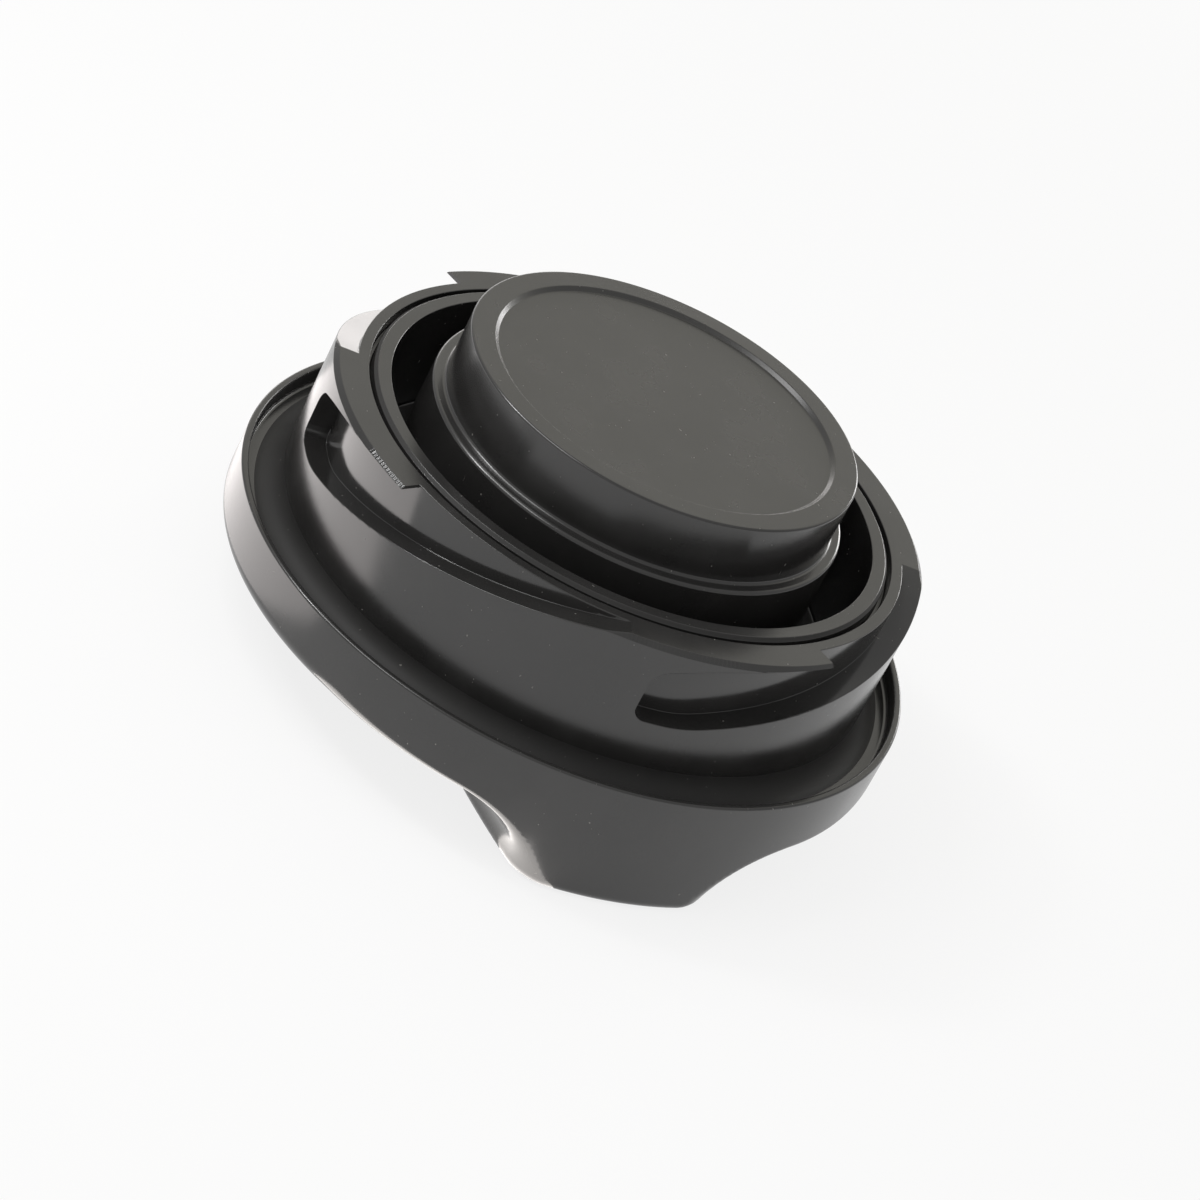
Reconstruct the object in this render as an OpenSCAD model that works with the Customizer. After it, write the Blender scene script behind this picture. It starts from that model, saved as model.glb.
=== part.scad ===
// Oil filler cap with a four-land bayonet skirt and a scooped finger grip.
// Machined from one piece of black anodised aluminium. Units are millimetres.
// The cap stands on the flat outer face of its grip: z = 0 is that face and
// +Z runs along the axis, out of the plug that goes into the filler neck.
// The grip bar lies along X.

/* [View] */
// Which node to build

/* [Flange and grip] */
// Diameter over the flange and the ends of the grip
flange_d = 70; // [62:0.5:80]
// Height of the grip, from its outer face to the underside of the flange
grip_h = 6.6; // [4.5:0.1:7.6]
// Width of the grip bar at its middle, on the outer face
grip_w = 29; // [24:0.1:34]
// Plan radius of each long side of the grip bar
grip_side_r = 119; // [90:1:160]
// Radius of the hollow finger scoop along each side of the bar
scoop_r = 6.8; // [6.7:0.1:12]
// Rounding of the edges of the outer face
grip_edge_r = 1; // [0.4:0.1:1.6]
// Rounding of the lower edge of the flange wall
flange_edge_r = 1.8; // [0.6:0.1:2.4]
// Thickness of the flange under the seal channel
flange_t = 4.5; // [3.5:0.1:6]

/* [Seal channel and rim] */
// Height of the rim above the floor of the seal channel
rim_h = 1.9; // [1.2:0.1:3]
// Radial thickness of the rim
rim_t = 0.75; // [0.5:0.05:1.5]
// Clear width of the seal channel, from the skirt to the rim
channel_w = 3.41; // [3:0.01:4.5]
// Rounding of the rim's two top edges
rim_edge_r = 0.25; // [0.05:0.05:0.25]
// Fillet from the channel floor to the skirt wall
skirt_fillet_r = 2.2; // [0.8:0.1:2.6]
// Fillet from the channel floor to the rim
rim_fillet_r = 0.4; // [0.1:0.1:0.6]

/* [Skirt] */
// Radial thickness of the bayonet skirt
skirt_t = 3.48; // [2.9:0.02:4]
// Height of the skirt's end face above the channel floor
skirt_h = 15.35; // [13:0.05:18]
// Width of the chamfer round the skirt's end face
skirt_chamfer_w = 0.46; // [0.1:0.02:0.7]
// Height of the same chamfer
skirt_chamfer_h = 0.46; // [0.2:0.02:0.8]

/* [Bayonet slots] */
// Number of slots, and of lands, round the skirt
land_count = 4; // [3:1:5]
// Angle from the grip's axis to the closed end of the first slot
bayonet_clock = -9.5; // [-45:0.5:45]
// Radial depth of each slot
slot_depth = 2.32; // [1.4:0.02:2.6]
// Depth of the slot's flat bottom below the end face
slot_drop = 8.3; // [7:0.1:9.5]
// Angle of the flat bottom, measured from the closed end
slot_flat_arc = 9.6; // [8:0.2:14]
// Half angle over which the flat bottom bends into the ramp
ramp_blend_arc = 3.5; // [1:0.5:5]
// Angle of full skirt left between the top of a ramp and the next closed end
land_gap_arc = 6.7; // [4:0.1:10]
// Rounding of the two corners of the closed end
slot_corner_r = 1.3; // [0.6:0.1:1.8]
// Angle that each land overhangs its slot
land_arc = 35.2; // [28:0.2:42]
// Thickness of a land at the closed end of its slot
land_root_t = 3.15; // [2.4:0.05:4]
// Thickness of a land at its tip
land_tip_t = 0.35; // [0.2:0.05:0.8]

/* [Sleeve and plug] */
// Width of the relief groove between skirt and sleeve
relief_w = 0.47; // [0.2:0.01:1]
// Depth of the relief groove
relief_depth = 1.5; // [0.5:0.1:4]
// Radial thickness of the sleeve
sleeve_t = 1.69; // [1:0.01:2.2]
// Height of the sleeve above the skirt's end face
sleeve_rise = 0.23; // [0.1:0.01:1]
// Outer edge chamfer of the sleeve
sleeve_chamfer = 0.34; // [0.1:0.02:0.5]
// Width of the moat between sleeve and ledge
moat_w = 3.8; // [2.5:0.1:4.8]
// Depth of the moat below the skirt's end face
moat_depth = 12; // [6:0.5:13]
// Height of the ledge at the foot of the plug above the end face
ledge_rise = 1.25; // [0.6:0.05:2.5]
// Rounding of the ledge's outer edge
ledge_edge_r = 0.4; // [0.1:0.05:0.5]
// Width of the ledge round the foot of the plug
ledge_w = 1.27; // [0.95:0.01:2]
// Height of the plug above its ledge
plug_h = 6.4; // [4:0.1:10]
// Fillet at the foot of the plug
plug_fillet_r = 0.35; // [0.1:0.05:0.4]
// Edge break round the plug's face
plug_edge = 0.25; // [0.05:0.05:0.6]
// Width of the flat ring round the plug's face, outside the shallow recess
face_rim_w = 2.46; // [1.5:0.02:4]
// Depth of the recess
recess_depth = 0.4; // [0.2:0.05:1]
// Width of the sloping side of the recess
recess_slope = 0.4; // [0.1:0.05:1]

/* [Hidden] */
$fn = 180;
fillet_steps = 4;
scoop_steps = 7;
slot_step_arc = 4.4;
corner_steps = 2;
grip_edge_steps = 3;
slot_corner_steps = 3;
cut_over = 2.2;
scoop_fade_w = 5;
anodised_black = [0.10, 0.10, 0.10];

flange_r = flange_d / 2;
skirt_r = flange_r - rim_t - channel_w;
slot_floor_r = skirt_r - slot_depth;
bore_r = skirt_r - skirt_t;
sleeve_r = bore_r - relief_w;
moat_out_r = sleeve_r - sleeve_t;
moat_in_r = moat_out_r - moat_w;
plug_r = moat_in_r - ledge_w;
recess_r = plug_r - face_rim_w;

channel_z = grip_h + flange_t;
rim_z = channel_z + rim_h;
end_z = channel_z + skirt_h;
sleeve_z = end_z + sleeve_rise;
moat_z = end_z - moat_depth;
ledge_z = end_z + ledge_rise;
plug_z = ledge_z + plug_h;

pitch_arc = 360 / land_count;
ramp_end_arc = pitch_arc - land_gap_arc;
ramp_slope = slot_drop / (ramp_end_arc - slot_flat_arc);
arc_mm = skirt_r * PI / 180;
corner_arc = slot_corner_r / arc_mm;
slot_z = end_z - slot_drop;

scoop_run = sqrt(pow(scoop_r, 2) - pow(scoop_r - grip_h, 2));
bar_top_z = grip_h + flange_edge_r + 0.3;

// Points of a circular arc from angle a0 to a1 about [cx, cz]
function arc_points(cx, cz, r, a0, a1, steps, first = 0) =
    [for (i = [first : steps]) let (a = a0 + (a1 - a0) * i / steps) [cx + r * cos(a), cz + r * sin(a)]];

// How far a rounded corner of the closed end reaches into the slot at an angle
function corner_rise(a) =
    a < corner_arc
        ? slot_corner_r - sqrt(pow(slot_corner_r, 2) - pow(slot_corner_r - a * arc_mm, 2))
        : 0;

// Height of the slot's lower face: corner rounding, flat, blend and helical ramp
function slot_low(a) =
    a < corner_arc
        ? slot_z + corner_rise(a)
        : a < slot_flat_arc - ramp_blend_arc
            ? slot_z
            : a < slot_flat_arc + ramp_blend_arc
                ? slot_z + ramp_slope * pow(a - slot_flat_arc + ramp_blend_arc, 2) / (4 * ramp_blend_arc)
                : slot_z + ramp_slope * (a - slot_flat_arc);

// Height of the land's underside, thick at the closed end and thin at the tip
function land_low(a) =
    end_z - land_tip_t - (land_root_t - land_tip_t) * pow(1 - a / land_arc, 3) - corner_rise(a);

// Point on a radius at an angle from the closed end
function slot_point(r, a, z) = [r * cos(a), r * sin(a), z];

// One bayonet slot as a solid: a closed pocket under the land, then a ramp open to the end face
module slot_cutter() {
    pocket_steps = ceil(land_arc / slot_step_arc);
    open_end = ramp_end_arc + 1;
    open_steps = ceil((open_end - land_arc) / slot_step_arc);
    first_arc = land_arc / pocket_steps;
    stations = concat(
        [for (i = [0 : slot_corner_steps]) corner_arc * (1 - cos(90 * i / slot_corner_steps))],
        [for (i = [1 : pocket_steps]) if (i * first_arc > corner_arc + 0.2) i * first_arc],
        [for (i = [1 : open_steps]) land_arc + (open_end - land_arc) * i / open_steps]
    );
    n = len(stations);
    tip = n - 1 - open_steps;
    r_in = slot_floor_r - 1;
    r_out = skirt_r + cut_over;
    top_z = end_z + cut_over;
    inner_tip = 4 * n;
    outer_tip = 4 * n + 1;
    points = concat(
        [for (a = stations) slot_point(r_in, a, slot_low(a))],
        [for (i = [0 : n - 1]) slot_point(r_in, stations[i], i < tip ? land_low(stations[i]) : top_z)],
        [for (a = stations) slot_point(r_out, a, slot_low(a))],
        [for (i = [0 : n - 1]) slot_point(r_out, stations[i], i < tip ? land_low(stations[i]) : top_z)],
        [slot_point(r_in, land_arc, end_z - land_tip_t)],
        [slot_point(r_out, land_arc, end_z - land_tip_t)]
    );
    faces = concat(
        [for (i = [0 : n - 2]) each [
            [i, 2 * n + i, 2 * n + i + 1],
            [i, 2 * n + i + 1, i + 1]
        ]],
        [for (i = [0 : n - 2]) let (
            iu = n + i,
            ju = i + 1 == tip ? inner_tip : n + i + 1,
            ou = 3 * n + i,
            pu = i + 1 == tip ? outer_tip : 3 * n + i + 1
        ) each [
            [iu, ju, pu],
            [iu, pu, ou]
        ]],
        [for (i = [0 : n - 2]) if (i != tip) let (
            ju = i + 1 == tip ? inner_tip : n + i + 1,
            pu = i + 1 == tip ? outer_tip : 3 * n + i + 1
        ) each [
            [2 * n + i, 3 * n + i, pu],
            [2 * n + i, pu, 2 * n + i + 1],
            [i, ju, n + i],
            [i, i + 1, ju]
        ]],
        [
            [2 * n + tip + 1, 2 * n + tip, outer_tip],
            [2 * n + tip + 1, outer_tip, 3 * n + tip],
            [2 * n + tip + 1, 3 * n + tip, 3 * n + tip + 1],
            [tip + 1, inner_tip, tip],
            [tip + 1, n + tip, inner_tip],
            [tip + 1, n + tip + 1, n + tip],
            [inner_tip, n + tip, 3 * n + tip],
            [inner_tip, 3 * n + tip, outer_tip],
            [0, n, 3 * n],
            [0, 3 * n, 2 * n],
            [n - 1, 4 * n - 1, 2 * n - 1],
            [n - 1, 3 * n - 1, 4 * n - 1]
        ]
    );
    polyhedron(points = points, faces = faces, convexity = 6);
}

// All the slots, kept outside the round slot floor
module bayonet_slots() {
    difference() {
        union()
            for (i = [0 : land_count - 1])
                rotate([0, 0, bayonet_clock + i * pitch_arc])
                    slot_cutter();
        translate([0, 0, channel_z])
            cylinder(r = slot_floor_r, h = plug_z);
    }
}

// Turned body above the underside of the flange: flange, channel, skirt, sleeve, moat and plug
module turned_body() {
    rotate_extrude()
        polygon(concat(
            [[0, grip_h]],
            arc_points(flange_r - flange_edge_r, grip_h + flange_edge_r, flange_edge_r, -90, 0, fillet_steps),
            arc_points(flange_r - rim_edge_r, rim_z - rim_edge_r, rim_edge_r, 0, 90, corner_steps),
            arc_points(flange_r - rim_t + rim_edge_r, rim_z - rim_edge_r, rim_edge_r, 90, 180, corner_steps),
            arc_points(flange_r - rim_t - rim_fillet_r, channel_z + rim_fillet_r, rim_fillet_r, 0, -90, corner_steps),
            arc_points(skirt_r + skirt_fillet_r, channel_z + skirt_fillet_r, skirt_fillet_r, -90, -180, fillet_steps),
            [
                [skirt_r, end_z - skirt_chamfer_h],
                [skirt_r - skirt_chamfer_w, end_z],
                [bore_r, end_z],
                [bore_r, end_z - relief_depth],
                [sleeve_r, end_z - relief_depth],
                [sleeve_r, sleeve_z - sleeve_chamfer],
                [sleeve_r - sleeve_chamfer, sleeve_z],
                [moat_out_r, sleeve_z],
                [moat_out_r, moat_z],
                [moat_in_r, moat_z]
            ],
            arc_points(moat_in_r - ledge_edge_r, ledge_z - ledge_edge_r, ledge_edge_r, 0, 90, corner_steps),
            arc_points(plug_r + plug_fillet_r, ledge_z + plug_fillet_r, plug_fillet_r, -90, -180, corner_steps),
            [
                [plug_r, plug_z - plug_edge],
                [plug_r - plug_edge, plug_z],
                [recess_r, plug_z],
                [recess_r - recess_slope, plug_z - recess_depth],
                [0, plug_z - recess_depth]
            ]
        ));
}

// Plan disc of one long side of the bar, with the hollow scoop round its edge
module scooped_side(side) {
    edge_r = grip_side_r + scoop_run;
    scoop_z = grip_h - scoop_r;
    round_x = edge_r - sqrt(pow(scoop_r + grip_edge_r, 2) - pow(scoop_z - grip_edge_r, 2));
    meet_a = atan2(scoop_z - grip_edge_r, edge_r - round_x);
    translate([0, side * (grip_w / 2 - grip_side_r), 0])
        rotate_extrude($fn = 360)
            polygon(concat(
                [[0, 0]],
                arc_points(round_x, grip_edge_r, grip_edge_r, -90, meet_a, grip_edge_steps),
                arc_points(edge_r, scoop_z, scoop_r, 180 + meet_a, 90, scoop_steps, 1),
                [
                    [edge_r + scoop_fade_w, grip_h + flange_edge_r],
                    [edge_r + scoop_fade_w, bar_top_z],
                    [0, bar_top_z]
                ]
            ));
}

// Grip bar: where both scooped sides overlap, trimmed to the flange's diameter
module grip_bar() {
    intersection() {
        scooped_side(1);
        scooped_side(-1);
        rotate_extrude()
            polygon(concat(
                [[0, 0]],
                arc_points(flange_r - grip_edge_r, grip_edge_r, grip_edge_r, -90, 0, grip_edge_steps),
                [
                    [flange_r, bar_top_z],
                    [0, bar_top_z]
                ]
            ));
    }
}

// The whole cap, one machined piece
module cap_body() {
    color(anodised_black)
        difference() {
            union() {
                turned_body();
                grip_bar();
            }
            bayonet_slots();
        }
}

cap_body();
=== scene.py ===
"""Looks for the oil filler cap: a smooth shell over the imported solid, its finish, light and camera."""

import logging
from dataclasses import dataclass, field
from enum import Enum, IntEnum
from typing import Any, Sequence

import bpy
import numpy as np
from mathutils import Matrix, Vector


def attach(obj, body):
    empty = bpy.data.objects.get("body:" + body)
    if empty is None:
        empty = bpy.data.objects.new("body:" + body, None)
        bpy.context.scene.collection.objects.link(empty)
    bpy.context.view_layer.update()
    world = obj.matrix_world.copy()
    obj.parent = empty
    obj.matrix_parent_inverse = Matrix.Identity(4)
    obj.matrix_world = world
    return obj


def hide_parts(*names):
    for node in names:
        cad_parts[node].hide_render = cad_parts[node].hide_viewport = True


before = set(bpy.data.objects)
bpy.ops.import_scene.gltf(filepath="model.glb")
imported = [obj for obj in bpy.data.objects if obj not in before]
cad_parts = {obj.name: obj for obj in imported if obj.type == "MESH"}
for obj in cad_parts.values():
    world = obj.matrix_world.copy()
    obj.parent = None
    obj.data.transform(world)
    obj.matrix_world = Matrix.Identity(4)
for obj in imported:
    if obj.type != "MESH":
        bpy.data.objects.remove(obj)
log = logging.getLogger("cap_scene")

Array = np.ndarray
MM = 0.001
WELD = 1e-4
CLOSE = 1e-6

# Starts of the surface's running coordinate, in millimetres, one for each stretch
UPPER_RUN = 50.0
WALL_RUN = 100.0
SLOT_RUN = 150.0
FACE_RUN = 200.0
END_RUN = 250.0
GRIP_RUN = 300.0

# Small edge breaks: reach into a chamfer and out beside it, and the bow of a slot's edge
BREAK_IN = 0.03
BREAK_OUT = 0.05
SLEEVE_BREAK_OUT = 0.04
SLOPE_BREAK = 0.06
EDGE_BOW = 0.3

# Parts of the profiles
FILLET_STEPS = 10
WALL_STEPS = 2
POCKET_POINTS = 10

# Rays that find the grip: start as radius and height, reach, halvings, and slopes in radians
RAY_START = (8.0, 9.0)
RAY_REACH = 40.0
RAY_HALVINGS = 26
FOOT_MARGIN = 0.012
STEEP = 0.95


class Zone(Enum):
    """The kinds of stretch that the bayonet skirt has round its top."""

    POCKET = "pocket"
    OPEN = "open"
    FULL = "full"


class Look(IntEnum):
    """Material slots of the shell, one for each kind of cut."""

    TURNED = 0
    SLOT = 1
    MILLED = 2
    FOOT = 3
    CHAMFER = 4


@dataclass(frozen=True)
class CapSizes:
    """Sizes of the cap, in millimetres and degrees: the part's own, and those of edges that only this shell has."""

    flange_r: float = 35.0
    grip_h: float = 6.6
    grip_w: float = 29.0
    grip_side_r: float = 119.0
    scoop_r: float = 6.8
    grip_edge_r: float = 1.0
    grip_corner_r: float = 2.6
    flange_edge_r: float = 1.8
    lower_edge_r: float = 0.7
    edge_fade_x: float = 31.0
    edge_fade_w: float = 12.0
    flange_t: float = 4.5
    rim_h: float = 1.9
    rim_t: float = 0.75
    rim_edge_r: float = 0.25
    channel_w: float = 3.41
    skirt_fillet_r: float = 2.2
    rim_fillet_r: float = 0.4
    skirt_t: float = 3.48
    skirt_h: float = 15.35
    chamfer: float = 0.46
    land_count: int = 4
    clock: float = -9.5
    slot_depth: float = 2.32
    slot_drop: float = 8.3
    slot_flat_arc: float = 9.6
    ramp_blend_arc: float = 3.5
    land_gap_arc: float = 6.7
    slot_corner_r: float = 1.3
    land_arc: float = 35.2
    land_root_t: float = 3.15
    land_tip_t: float = 0.35
    relief_w: float = 0.47
    relief_depth: float = 1.5
    sleeve_t: float = 1.69
    sleeve_rise: float = 0.23
    sleeve_chamfer: float = 0.34
    moat_w: float = 3.8
    moat_depth: float = 12.0
    ledge_rise: float = 1.25
    ledge_edge_r: float = 0.4
    ledge_w: float = 1.27
    plug_h: float = 6.4
    plug_fillet_r: float = 0.35
    plug_edge: float = 0.25
    face_rim_w: float = 2.46
    recess_depth: float = 0.4
    recess_slope: float = 0.4
    moat_corner_r: float = 0.3
    groove_corner_r: float = 0.12
    edge_break: float = 0.09

    @property
    def skirt_r(self) -> float:
        """Outside radius of the skirt."""
        return self.flange_r - self.rim_t - self.channel_w

    @property
    def floor_r(self) -> float:
        """Radius of the slot floors."""
        return self.skirt_r - self.slot_depth

    @property
    def bore_r(self) -> float:
        """Inside radius of the skirt."""
        return self.skirt_r - self.skirt_t

    @property
    def sleeve_r(self) -> float:
        """Outside radius of the sleeve."""
        return self.bore_r - self.relief_w

    @property
    def moat_out_r(self) -> float:
        """Outer radius of the moat."""
        return self.sleeve_r - self.sleeve_t

    @property
    def moat_in_r(self) -> float:
        """Inner radius of the moat."""
        return self.moat_out_r - self.moat_w

    @property
    def plug_r(self) -> float:
        """Radius of the plug."""
        return self.moat_in_r - self.ledge_w

    @property
    def channel_z(self) -> float:
        """Height of the seal channel's floor."""
        return self.grip_h + self.flange_t

    @property
    def rim_z(self) -> float:
        """Height of the rim's top."""
        return self.channel_z + self.rim_h

    @property
    def end_z(self) -> float:
        """Height of the skirt's end face."""
        return self.channel_z + self.skirt_h

    @property
    def ledge_z(self) -> float:
        """Height of the ledge round the plug."""
        return self.end_z + self.ledge_rise

    @property
    def plug_z(self) -> float:
        """Height of the plug's face."""
        return self.ledge_z + self.plug_h

    @property
    def pitch(self) -> float:
        """Angle from one slot to the next."""
        return 360.0 / self.land_count

    @property
    def ramp_end(self) -> float:
        """Angle from the closed end to the top of the ramp."""
        return self.pitch - self.land_gap_arc

    @property
    def arc_mm(self) -> float:
        """Length of one degree of arc on the skirt."""
        return self.skirt_r * np.pi / 180.0

    @property
    def scoop_run(self) -> float:
        """Reach of the hollow scoop beyond the bar's edge."""
        return float(np.sqrt(self.scoop_r**2 - (self.scoop_r - self.grip_h) ** 2))

    def corner_rise(self, a: Array) -> Array:
        """Reach of the closed end's rounded corner into the slot.

        Args:
            a: Angles from the closed end, in degrees.

        Returns:
            The reach at each angle.
        """
        r = self.slot_corner_r
        left = np.clip(r - a * self.arc_mm, 0.0, r)
        return np.asarray(r - np.sqrt(r**2 - left**2))

    def slot_low(self, a: Array) -> Array:
        """Height of the slot's lower face.

        Args:
            a: Angles from the closed end, in degrees.

        Returns:
            The height at each angle.
        """
        base = self.end_z - self.slot_drop
        slope = self.slot_drop / (self.ramp_end - self.slot_flat_arc)
        b = self.ramp_blend_arc
        start = self.slot_flat_arc - b
        blend = slope * (a - start) ** 2 / (4 * b)
        ramp = slope * (a - self.slot_flat_arc)
        rise = np.where(a < start, 0.0, np.where(a < start + 2 * b, blend, ramp))
        return np.asarray(base + rise + self.corner_rise(a))

    def land_low(self, a: Array) -> Array:
        """Height of the land's underside.

        Args:
            a: Angles from the closed end, in degrees.

        Returns:
            The height at each angle.
        """
        left = np.clip(1 - a / self.land_arc, 0.0, 1.0)
        thick = self.land_tip_t + (self.land_root_t - self.land_tip_t) * left**3
        return np.asarray(self.end_z - thick - self.corner_rise(a))


class Profile:
    """A polyline in the (radius, height) plane, grown corner by corner."""

    def __init__(self, start: tuple[float, float]) -> None:
        """Begins the line.

        Args:
            start: First point.
        """
        self.points: list[tuple[float, float]] = [start]

    def to(self, r: float, z: float, steps: int = 1) -> "Profile":
        """Adds a straight stretch.

        Args:
            r: Radius of its end.
            z: Height of its end.
            steps: Number of equal parts.

        Returns:
            This profile.
        """
        r0, z0 = self.points[-1]
        for i in range(1, steps + 1):
            t = i / steps
            self.points.append((r0 + (r - r0) * t, z0 + (z - z0) * t))
        return self

    def arc(self, c: tuple[float, float], radius: float, a0: float, a1: float, steps: int) -> "Profile":
        """Adds a circular arc.

        Args:
            c: Centre.
            radius: Radius of the arc.
            a0: First angle in degrees.
            a1: Last angle in degrees.
            steps: Number of chords.

        Returns:
            This profile.
        """
        for a in np.radians(np.linspace(a0, a1, steps + 1)):
            self.points.append((c[0] + radius * float(np.cos(a)), c[1] + radius * float(np.sin(a))))
        return self

    def array(self) -> Array:
        """The points as an array, with repeats dropped.

        Returns:
            An array of shape (n, 2).
        """
        p = np.array(self.points)
        keep = np.r_[True, np.linalg.norm(np.diff(p, axis=0), axis=1) > 1e-6]
        return p[keep]


@dataclass
class Shell:
    """Vertices, faces, normals and surface coordinates gathered from many grids."""

    verts: list[Array] = field(default_factory=list)
    normals: list[Array] = field(default_factory=list)
    faces: list[Array] = field(default_factory=list)
    uvs: list[Array] = field(default_factory=list)
    slots: list[Array] = field(default_factory=list)
    count: int = 0

    def grid(self, points: Array, normals: Array, uv: Array, slot: Look, closed: bool = False) -> None:
        """Adds a grid of points as quads that face the way their normals point.

        Args:
            points: Array of shape (rows, columns, 3) in millimetres.
            normals: Unit normals of the same shape.
            uv: Array of shape (rows, columns, 2).
            slot: Material slot.
            closed: True where the last row joins the first.
        """
        rows, cols = points.shape[:2]
        index = np.arange(rows * cols).reshape(rows, cols)
        if closed:
            index = np.vstack([index, index[:1]])
        a, b = index[:-1, :-1], index[:-1, 1:]
        c, d = index[1:, 1:], index[1:, :-1]
        quads = np.stack([a, b, c, d], -1).reshape(-1, 4)
        flat, way = points.reshape(-1, 3), normals.reshape(-1, 3)
        cross = np.cross(flat[quads[:, 2]] - flat[quads[:, 0]], flat[quads[:, 3]] - flat[quads[:, 1]])
        turned = (cross * way[quads].sum(1)).sum(1) < 0
        quads[turned] = quads[turned][:, ::-1]
        self.verts.append(flat)
        self.normals.append(way)
        self.uvs.append(uv.reshape(-1, 2))
        self.faces.append(quads + self.count)
        self.slots.append(np.full(len(quads), slot, np.int32))
        self.count += rows * cols

    def build(self, name: str, materials: Sequence[bpy.types.Material]) -> bpy.types.Object:
        """Welds the grids by position and makes the Blender object.

        Args:
            name: Name of the object and its mesh.
            materials: Materials by slot number.

        Returns:
            The new object, linked to the scene.
        """
        verts = np.concatenate(self.verts)
        normals = np.concatenate(self.normals)
        quads = np.concatenate(self.faces)
        slots = np.concatenate(self.slots)
        uvs = np.concatenate(self.uvs)
        _, first, weld = np.unique(np.round(verts / WELD), axis=0, return_index=True, return_inverse=True)
        spot = weld.reshape(-1)[quads]
        fresh = spot != np.roll(spot, 1, axis=1)
        kept = fresh.sum(1) > 2
        kept &= (spot[:, 0] != spot[:, 2]) & (spot[:, 1] != spot[:, 3])
        fresh, spot, quads, slots = fresh[kept], spot[kept], quads[kept], slots[kept]
        sizes = fresh.sum(1)
        corners, sources = spot[fresh], quads[fresh]
        mesh = bpy.data.meshes.new(name)
        mesh.vertices.add(len(first))
        mesh.vertices.foreach_set("co", (verts[first] * MM).astype(np.float32).ravel())
        mesh.loops.add(len(corners))
        mesh.loops.foreach_set("vertex_index", corners.astype(np.int32))
        mesh.polygons.add(len(sizes))
        mesh.polygons.foreach_set("loop_start", np.r_[0, np.cumsum(sizes)[:-1]].astype(np.int32))
        mesh.polygons.foreach_set("material_index", slots)
        mesh.polygons.foreach_set("use_smooth", np.ones(len(sizes), bool))
        layer = mesh.uv_layers.new(name="UVMap")
        layer.data.foreach_set("uv", uvs[sources].astype(np.float32).ravel())
        for material in materials:
            mesh.materials.append(material)
        mesh.update(calc_edges=True)
        mesh.normals_split_custom_set(normals[sources].astype(np.float32))
        obj = bpy.data.objects.new(name, mesh)
        bpy.context.scene.collection.objects.link(obj)
        log.info("%s: %d vertices, %d triangles", name, len(first), int((sizes - 2).sum()))
        return obj


def unit(vectors: Array) -> Array:
    """Vectors scaled to length one, with nothing vectors turned to +Z.

    Args:
        vectors: Array of shape (..., 3).

    Returns:
        The unit vectors.
    """
    size = np.linalg.norm(vectors, axis=-1, keepdims=True)
    return np.where(size > 1e-12, vectors / np.maximum(size, 1e-12), [0.0, 0.0, 1.0])


def strip_normals(points: Array, along: Array) -> Array:
    """Normals of a grid: each strip between two columns is crossed with the rows' direction, and a vertex
    takes the mean of the nearest strips on its two sides, weighted by the cube of their widths, so that
    flats stay flat and narrow edge breaks take up the turn.

    Args:
        points: Array of shape (rows, columns, 3).
        along: Direction of the rows at each point, of the same shape.

    Returns:
        Unit normals of the same shape.
    """
    across = np.diff(points, axis=1)
    width = np.linalg.norm(across, axis=-1, keepdims=True)
    facing = unit(np.cross(along[:, :-1] + along[:, 1:], across)) * width**3
    before, after = facing.copy(), facing.copy()
    empty = width[..., 0] < WELD
    for i in range(1, empty.shape[1]):
        before[empty[:, i], i] = before[empty[:, i], i - 1]
        after[empty[:, -1 - i], -1 - i] = after[empty[:, -1 - i], -i]
    total = np.zeros_like(points)
    total[:, :-1] += after
    total[:, 1:] += before
    return unit(total)


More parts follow.
